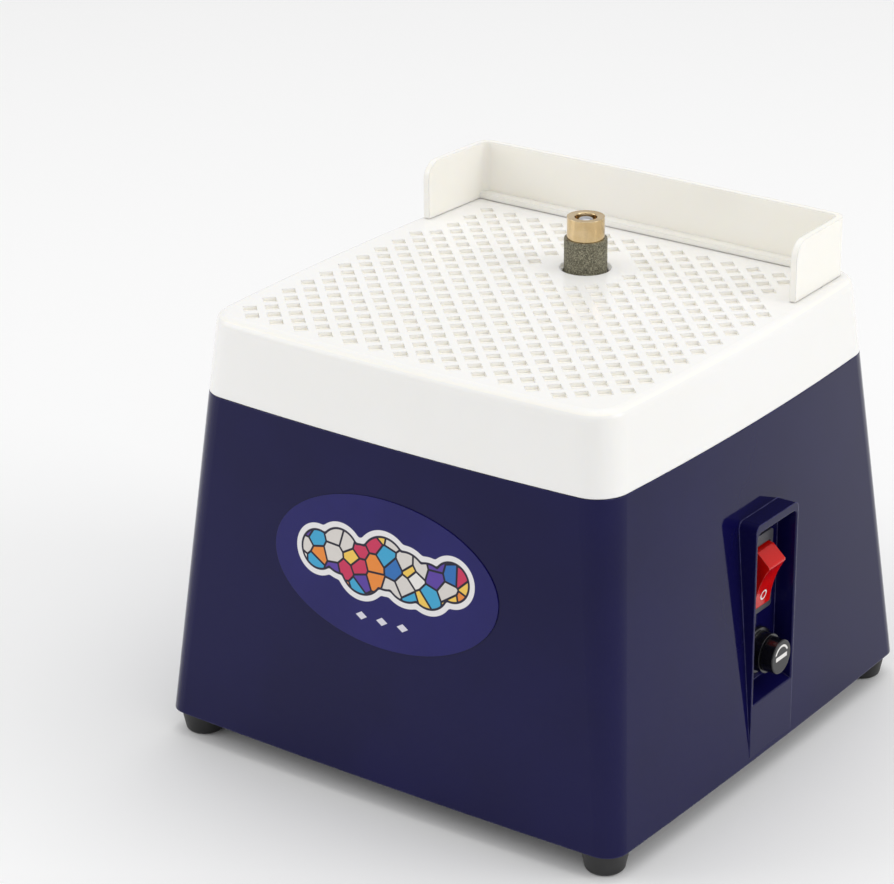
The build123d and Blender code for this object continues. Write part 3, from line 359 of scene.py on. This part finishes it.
def cellulose_sponge():
    """Open-celled cellulose sponge, damp and yellow, with painted shade in its pores."""
    made, tree, shader, point, base, _ = finish(
        "cellulose_sponge_yellow", "#d9b553", "#cba544", 0.8, mottle_mm=6.0, grain_mm=0.8, grain_depth_mm=0.3,
        edge_mm=0.3, subsurface=0.2)
    pore_size = 1.6 * MM
    pores = add(tree, "ShaderNodeTexVoronoi", {"Vector": point, "Scale": 1 / pore_size}).outputs["Distance"]
    # painted shade: the pores are painted darker, where shade would fall in them
    pores_painted_shade = mix_of(tree, span(tree, pores, 0.35, 0.12), base, srgb("#8a6a25"))
    tree.links.new(pores_painted_shade, shader.inputs["Base Color"])
    shader.inputs["Sheen Weight"].default_value = 0.2
    return made


def wound_copper():
    """Enamelled copper wire, wound tight: shiny strands side by side."""
    made, tree, shader, point, _, bump = finish(
        "copper_wire_enamelled", "#a65a2e", "#8f4a24", 0.3, metallic=0.8, mottle_mm=5.0, grain_mm=0.5,
        grain_depth_mm=0.05, edge_mm=0.3, stretch=(1.0, 1.0, 0.2))
    strand_pitch = 3.2 * MM
    strands = add(tree, "ShaderNodeTexWave", {"Vector": point, "Scale": 1 / strand_pitch, "Distortion": 2.0},
                  wave_type="RINGS", rings_direction="Z")
    coil = add(tree, "ShaderNodeBump", {"Height": strands.outputs["Fac"], "Normal": bump.outputs[0],
                                        "Distance": 0.2 * MM})
    tree.links.new(coil.outputs[0], shader.inputs["Normal"])
    return made


def simple_finishes():
    """Finishes that need no more than a name, two colours and how the surface was made."""
    return {
        # injection-moulded polypropylene: waxy, slightly see-through
        "tray": finish("polypropylene_moulded_white", "#e9e6da", "#e4e0d2", 0.42, ior=1.49, grain_mm=1.2,
                       grain_depth_mm=0.02, edge_mm=0.5, subsurface=0.3)[0],
        # turned nylon: satin white
        "slinger": finish("nylon_turned_white", "#ece9e0", "#e3dfd3", 0.45, ior=1.53, grain_mm=0.6,
                          grain_depth_mm=0.02, edge_mm=0.3, subsurface=0.2)[0],
        # rolled steel tube, black oxide
        "can": finish("steel_black_oxide", "#3a3c40", "#303236", 0.42, metallic=0.85, mottle_mm=12.0,
                      grain_mm=0.6, grain_depth_mm=0.02, edge_mm=0.4, edge_wear_and_highlight_colour="#70747a")[0],
        # folded steel sheet, zinc plated
        "plate": finish("steel_zinc_plated", "#a9aab0", "#9b9ca6", 0.32, metallic=1.0, mottle_mm=9.0,
                        grain_mm=0.8, grain_depth_mm=0.01, edge_mm=0.3, edge_wear_and_highlight_colour="#c9cad0")[0],
        # die-cast aluminium, as cast
        "bell": finish("aluminium_die_cast", "#a7a8a9", "#96979a", 0.5, metallic=1.0, mottle_mm=8.0,
                       grain_mm=0.7, grain_depth_mm=0.05, edge_mm=0.4)[0],
        # sintered ferrite: dark and stony
        "magnet": finish("ferrite_sintered", "#2b2c2f", "#34353a", 0.6, grain_mm=0.5, grain_depth_mm=0.04,
                         edge_mm=0.3, edge_wear_and_highlight_colour="#4b4c50")[0],
        # stacked sheet steel: the sheets' edges are fine lines round the stack
        "laminations": finish("steel_laminated", "#7d8087", "#676a70", 0.4, metallic=1.0, mottle_mm=6.0,
                              grain_mm=0.5, grain_depth_mm=0.05, edge_mm=0.1, stretch=(0.05, 0.05, 1.0))[0],
        # turned copper with a carbon film where the brushes run
        "commutator": finish("copper_turned", "#b5714a", "#8d563a", 0.3, metallic=1.0, mottle_mm=4.0,
                             grain_mm=0.4, grain_depth_mm=0.02, edge_mm=0.1, stretch=(0.05, 0.05, 1.0))[0],
        # pressed carbon: black with a graphite sheen
        "carbon": finish("carbon_pressed", "#1b1b1d", "#26262a", 0.5, grain_mm=0.3, grain_depth_mm=0.02,
                         edge_mm=0.2, edge_wear_and_highlight_colour="#3e3e42")[0],
        # moulded phenolic, brown
        "holder": finish("phenolic_moulded_brown", "#3b241a", "#2f1d15", 0.35, ior=1.6, grain_mm=0.7,
                         grain_depth_mm=0.015, edge_mm=0.3, edge_wear_and_highlight_colour="#5a3c2c")[0],
        # moulded phenolic, black and glossy
        "fuse": finish("phenolic_moulded_black", "#101013", "#15151a", 0.18, ior=1.6, grain_mm=1.0,
                       grain_depth_mm=0.005, edge_mm=0.3, edge_wear_and_highlight_colour="#33333a")[0],
        # moulded nylon, dark grey and satin
        "switch": finish("nylon_moulded_grey", "#34343a", "#3a3a41", 0.38, ior=1.53, grain_mm=0.8,
                         grain_depth_mm=0.01, edge_mm=0.35, edge_wear_and_highlight_colour="#55555c")[0],
        # stamped brass, unpolished
        "terminal": finish("brass_stamped", "#c0a468", "#ab9058", 0.35, metallic=1.0, mottle_mm=3.0,
                           grain_mm=0.4, grain_depth_mm=0.01, edge_mm=0.1)[0],
        # moulded nylon, black: the cable gland
        "gland": finish("nylon_moulded_black", "#141417", "#1a1a1e", 0.42, ior=1.53, grain_mm=0.7,
                        grain_depth_mm=0.02, edge_mm=0.4, edge_wear_and_highlight_colour="#323236")[0],
        # paper phenolic board with its fibres
        "board": finish("paper_phenolic_board", "#9c7c3d", "#876a33", 0.4, grain_mm=1.5, grain_depth_mm=0.02,
                        edge_mm=0.1, stretch=(1.0, 0.1, 1.0))[0],
        # moulded epoxy, black and matt
        "epoxy": finish("epoxy_moulded_black", "#17171a", "#1d1d20", 0.55, grain_mm=0.4, grain_depth_mm=0.02,
                        edge_mm=0.2, edge_wear_and_highlight_colour="#2f2f33")[0],
        # extruded PVC sleeve
        "wire": finish("pvc_extruded_blue", "#20407a", "#1c3768", 0.3, ior=1.53, grain_mm=1.0,
                       grain_depth_mm=0.01, edge_mm=0.1)[0],
    }


def dress_nodes():
    """Gives every CAD node its finish."""
    plain = simple_finishes()
    zinc = ground_steel("steel_zinc_plated_screws", "#b9bac0", 0.28)
    bearing = ground_steel("steel_bearing_ground", "#c9cacf", 0.12)
    foot_rubber = moulded_rubber("rubber_moulded_black", "#121213")
    grommet_rubber = moulded_rubber("rubber_moulded_soft_black", "#161617")
    looks = {
        "housing_shell": case_abs(), "worktop_cover": worktop_abs(), "splash_guard": guard_styrene(),
        "base_plate": base_abs(), "badge": badge_vinyl(), "bit_core": turned_brass(),
        "diamond_sleeve": diamond_nickel(),
        "motor_shaft": ground_steel("steel_ground_shaft", "#d4d5d9", 0.15),
        "switch_rocker": rocker_polycarbonate(), "fuse_cap": fuse_cap_face(), "fuse_tube": clear_glass(),
        "sponge": cellulose_sponge(), "armature_windings": wound_copper(), "rubber_grommets": grommet_rubber,
        "brush_springs": ground_steel("steel_spring_wire", "#aeb0b6", 0.25),
        "fuse_ends": ground_steel("nickel_plated_caps", "#c4c2ba", 0.15),
        "water_tray": plain["tray"], "water_slinger": plain["slinger"], "motor_can": plain["can"],
        "motor_plate": plain["plate"], "upper_bell": plain["bell"], "lower_bell": plain["bell"],
        "field_magnets": plain["magnet"], "armature_core": plain["laminations"],
        "commutator": plain["commutator"],
        "brushes": plain["carbon"], "brush_holders": plain["holder"], "brush_caps": plain["holder"],
        "fuse_holder_body": plain["fuse"], "fuse_holder_nut": plain["fuse"], "fuse_carrier": plain["fuse"],
        "switch_body": plain["switch"], "switch_terminals": plain["terminal"], "cable_gland": plain["gland"],
        "gland_nut": plain["gland"], "rectifier_board": plain["board"], "bridge_rectifier": plain["epoxy"],
        "internal_wires": plain["wire"],
    }
    for name, piece in nodes.items():
        if name.startswith("foot_") and not name.endswith(("screws", "nuts")):
            look = foot_rubber
        elif "_race" in name or "_balls" in name:
            look = bearing
        else:
            look = looks.get(name, zinc)
        piece.data.materials.clear()
        piece.data.materials.append(look)
    return looks


# ---- pieces made here -------------------------------------------------------------------------
def cad_copy(name, new_name):
    """Copy of a CAD node's mesh with its loose triangles merged."""
    shape = bmesh.new()
    shape.from_mesh(nodes[name].data)
    bmesh.ops.remove_doubles(shape, verts=shape.verts, dist=1e-6)
    mesh = bpy.data.meshes.new(new_name)
    shape.to_mesh(mesh)
    shape.free()
    copy = bpy.data.objects.new(new_name, mesh)
    bpy.context.scene.collection.objects.link(copy)
    return copy


def make_plain(piece):
    """Turns a piece with modifiers into a plain mesh."""
    ready = piece.evaluated_get(bpy.context.evaluated_depsgraph_get())
    mesh = bpy.data.meshes.new_from_object(ready)
    piece.modifiers.clear()
    piece.data = mesh


def diamond_grit(material):
    """Grains of diamond scattered over the sleeve by Geometry Nodes."""
    low, high = (Vector(corner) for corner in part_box("diamond_sleeve"))
    centre = (low + high) / 2
    tree = bpy.data.node_groups.new("scattered_grit", "GeometryNodeTree")
    for name in ("Radius", "Height", "Grain", "Spacing"):
        tree.interface.new_socket(name, in_out="INPUT", socket_type="NodeSocketFloat")
    tree.interface.new_socket("Seed", in_out="INPUT", socket_type="NodeSocketInt")
    tree.interface.new_socket("Geometry", in_out="OUTPUT", socket_type="NodeSocketGeometry")
    given = add(tree, "NodeGroupInput").outputs
    most_per_square_metre, any_turn = 2.2e7, (6.28, 6.28, 6.28)
    smallest, largest = 0.55, 1.25
    band = add(tree, "GeometryNodeMeshCylinder",
               {"Vertices": 64, "Side Segments": 8, "Radius": given["Radius"], "Depth": given["Height"]},
               fill_type="NONE")
    points = add(tree, "GeometryNodeDistributePointsOnFaces",
                 {"Mesh": band.outputs["Mesh"], "Distance Min": given["Spacing"],
                  "Density Max": most_per_square_metre, "Seed": given["Seed"]}, distribute_method="POISSON")
    grain = add(tree, "GeometryNodeMeshIcoSphere", {"Radius": given["Grain"], "Subdivisions": 1})
    turn = add(tree, "FunctionNodeRandomValue", {"Max": any_turn, "Seed": given["Seed"]},
               data_type="FLOAT_VECTOR")
    size = add(tree, "FunctionNodeRandomValue", {2: smallest, 3: largest, "Seed": given["Seed"]},
               data_type="FLOAT")
    placed = add(tree, "GeometryNodeInstanceOnPoints",
                 {"Points": points.outputs["Points"], "Instance": grain.outputs["Mesh"],
                  "Rotation": turn.outputs[0], "Scale": size.outputs[1]})
    real = add(tree, "GeometryNodeRealizeInstances", {"Geometry": placed.outputs[0]})
    moved = add(tree, "GeometryNodeTransform", {"Geometry": real.outputs[0], "Translation": centre})
    painted = add(tree, "GeometryNodeSetMaterial", {"Geometry": moved.outputs[0], "Material": material})
    add(tree, "NodeGroupOutput", {0: painted.outputs[0]})
    piece = bpy.data.objects.new("diamond_grit", bpy.data.meshes.new("diamond_grit"))
    bpy.context.scene.collection.objects.link(piece)
    modifier = piece.modifiers.new("grit", "NODES")
    modifier.node_group = tree
    sizes = {"Radius": (high.x - low.x) / 2 - 0.02 * MM, "Height": high.z - low.z - 0.4 * MM,
             "Grain": 0.15 * MM, "Spacing": 0.30 * MM, "Seed": 7}
    for item in tree.interface.items_tree:
        if item.name in sizes:
            modifier[item.identifier] = sizes[item.name]
    make_plain(piece)
    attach(piece, "bit")


def porous_sponge(material):
    """Sponge with open cells, carved into a copy of its CAD block."""
    piece = cad_copy("sponge", "sponge_block")
    remesh = piece.modifiers.new("fine_skin", "REMESH")
    remesh.mode = "VOXEL"
    remesh.voxel_size = 0.55 * MM
    cells = (("large_cells", "VORONOI", 3.0, -1.4), ("small_cells", "CLOUDS", 1.2, -0.6))
    for name, kind, size_mm, depth_mm in cells:
        texture = bpy.data.textures.new(name, kind)
        texture.noise_scale = size_mm * MM
        carve = piece.modifiers.new(name, "DISPLACE")
        carve.texture = texture
        carve.texture_coords = "LOCAL"
        carve.mid_level = 0.0
        carve.strength = depth_mm * MM
    make_plain(piece)
    piece.data.materials.clear()
    piece.data.materials.append(material)
    for polygon in piece.data.polygons:
        polygon.use_smooth = True
    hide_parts("sponge")
    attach(piece, "tray")


# ---- floor, light and camera ------------------------------------------------------------------
def plain_sheet(name, corners, paint_name, colour, roughness):
    """Flat sheet with four corners and one plain colour."""
    mesh = bpy.data.meshes.new(name)
    mesh.from_pydata(corners, [], [(0, 1, 2, 3)])
    sheet = bpy.data.objects.new(name, mesh)
    bpy.context.scene.collection.objects.link(sheet)
    paint = bpy.data.materials.new(paint_name)
    paint.use_nodes = True
    shader = paint.node_tree.nodes["Principled BSDF"]
    shader.inputs["Base Color"].default_value = srgb(colour)
    shader.inputs["Roughness"].default_value = roughness
    mesh.materials.append(paint)
    return sheet


def studio():
    """Pale floor, plain soft light from large panels, and a dark card for the reflections."""
    reach = 6.0
    floor = plain_sheet("floor", [(-reach, -reach, 0), (reach, -reach, 0), (reach, reach, 0),
                                  (-reach, reach, 0)], "floor_paper_white", "#f7f7f7", 0.9)

    # dark card behind the camera, seen only in reflections
    card_left, card_right, card_tall = (0.95, -1.65), (1.35, -1.37), 1.5
    card = plain_sheet("dark_card", [(*card_left, 0.0), (*card_right, 0.0), (*card_right, card_tall),
                                     (*card_left, card_tall)], "felt_black", "#050507", 1.0)
    card.visible_camera = False
    card.visible_diffuse = False
    card.visible_shadow = False

    world = bpy.data.worlds.new("studio")
    world.use_nodes = True
    world.node_tree.nodes["Background"].inputs["Color"].default_value = srgb("#ffffff")
    world.node_tree.nodes["Background"].inputs["Strength"].default_value = 0.72
    bpy.context.scene.world = world
    target = Vector((0, 0, 0.09))
    for name, place, size, power in (
        ("top_panel", (0.1, 0.3, 1.9), 1.8, 9.0),
        ("left_panel", (-1.7, -1.2, 1.1), 1.2, 8.0),
        ("right_panel", (1.7, 0.5, 1.1), 1.0, 8.0),
    ):
        data = bpy.data.lights.new(name, "AREA")
        data.size = size
        data.energy = power
        lamp = bpy.data.objects.new(name, data)
        lamp.location = place
        lamp.rotation_euler = (Vector(place) - target).to_track_quat("Z", "Y").to_euler()
        bpy.context.scene.collection.objects.link(lamp)


def camera():
    """Camera above the near corner, with a long lens."""
    down, round_to_right = 24.11, 34.8
    data = bpy.data.cameras.new("camera")
    data.lens = 124.5
    data.sensor_width = 36.0
    data.shift_x = -0.0966
    data.shift_y = 0.0745
    made = bpy.data.objects.new("camera", data)
    made.location = (0.5974, -0.8634, 0.5494)
    made.rotation_euler = (math.radians(90 - down), 0, math.radians(round_to_right))
    bpy.context.scene.collection.objects.link(made)
    bpy.context.scene.camera = made


studio()
camera()
looks = dress_nodes()
diamond_grit(looks["diamond_sleeve"])
porous_sponge(looks["sponge"])
bpy.context.scene.view_settings.view_transform = "Standard"

bpy.context.view_layer.update()
